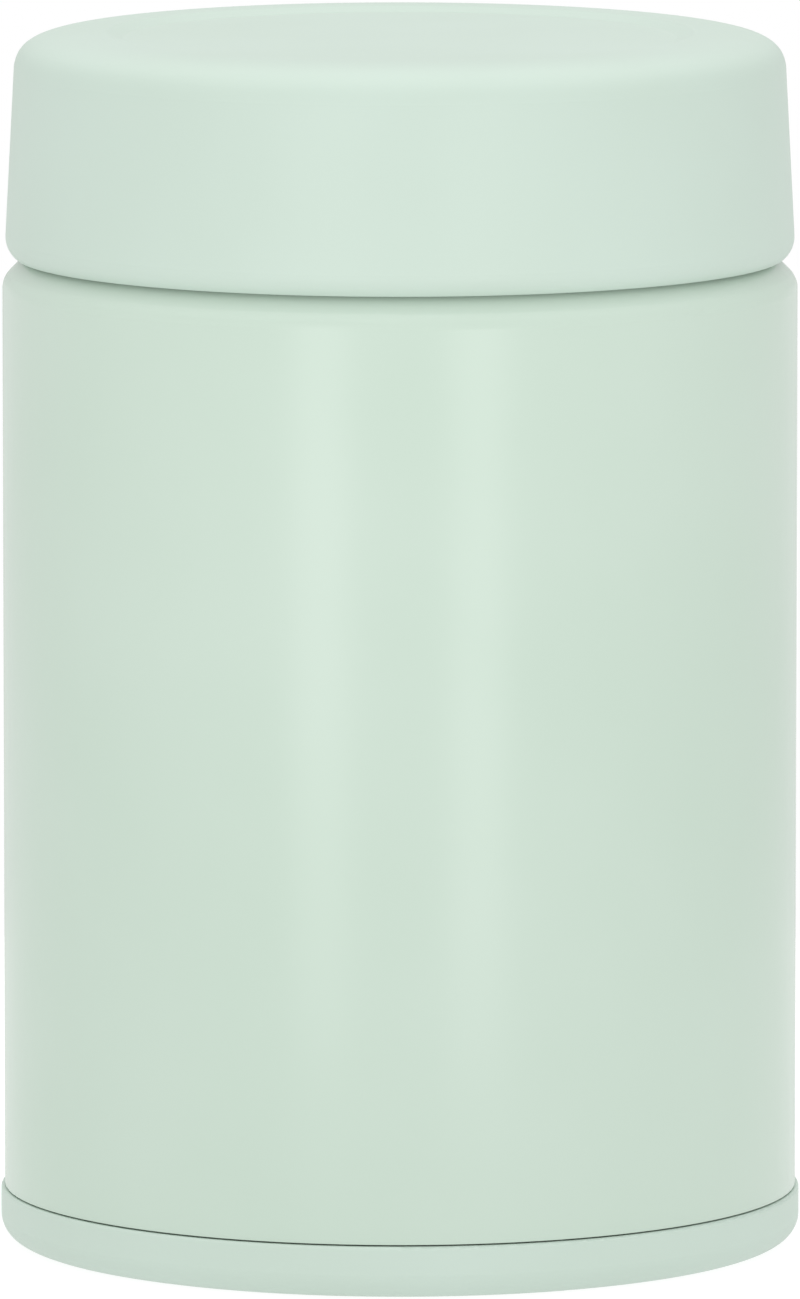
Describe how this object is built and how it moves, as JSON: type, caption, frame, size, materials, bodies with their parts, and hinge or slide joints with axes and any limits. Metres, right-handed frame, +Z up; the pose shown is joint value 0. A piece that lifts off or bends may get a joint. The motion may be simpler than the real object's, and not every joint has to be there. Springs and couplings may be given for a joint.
{
  "type": "insulated food jar",
  "caption": "Round double-walled steel jar with a screw lid, an insulated inner lid with a ring gasket and a vent valve, and a moulded base cover, for keeping food warm.",
  "frame": {"origin": "middle of the flat foot ring that the jar stands on", "axes": "+Z up along the jar's axis, and -Y towards the viewer of the picture"},
  "size_m": [0.0786, 0.0786, 0.1191],
  "materials": {
    "painted_steel": "satin mint powder paint",
    "vessel_steel": "satin stainless steel",
    "seal_glass": "smooth dark sealing glass",
    "getter_powder": "pressed dark grey powder",
    "copper_foil": "bright copper foil",
    "moulded_mint": "satin mint moulded polypropylene",
    "moulded_natural": "natural moulded polypropylene",
    "moulded_white": "smooth white acetal",
    "foam": "expanded polystyrene beads",
    "silicone": "translucent silicone"
  },
  "bodies": {
    "jar": {"outer_shell": "painted_steel", "inner_vessel": "vessel_steel", "bottom_plate": "vessel_steel", "vacuum_seal": "seal_glass", "getter_clip": "vessel_steel", "getter_pellet": "getter_powder", "radiation_foil": "copper_foil", "base_cover": "moulded_mint"},
    "vent": {"vent_plunger": "moulded_white", "vent_gasket": "silicone"},
    "lid": {"lid_shell": "moulded_mint", "lid_liner": "moulded_natural", "lid_foam": "foam"},
    "inner_lid": {"inner_lid_cup": "moulded_natural", "inner_lid_cover": "moulded_natural", "inner_lid_foam": "foam", "lid_gasket": "silicone"}
  },
  "joints": [
    {"name": "lid_rise", "type": "slide", "parent": "jar", "child": "vent", "axis": [0, 0, 1], "range_m": [0, 0.024]},
    {"name": "lid_turn", "type": "hinge", "parent": "vent", "child": "lid", "pos_m": [0, 0, 0.11], "axis": [0, 0, 1], "range_deg": [0, 1080]},
    {"name": "inner_lid_drop", "type": "slide", "parent": "vent", "child": "inner_lid", "axis": [0, 0, 1], "range_m": [-0.0012, 0]}
  ],
  "couplings": [
    {"joint": "lid_rise", "follows": "lid_turn", "m_per_rad": 0.0012732},
    {"joint": "inner_lid_drop", "follows": "lid_turn", "m_per_rad": -0.000063661}
  ]
}
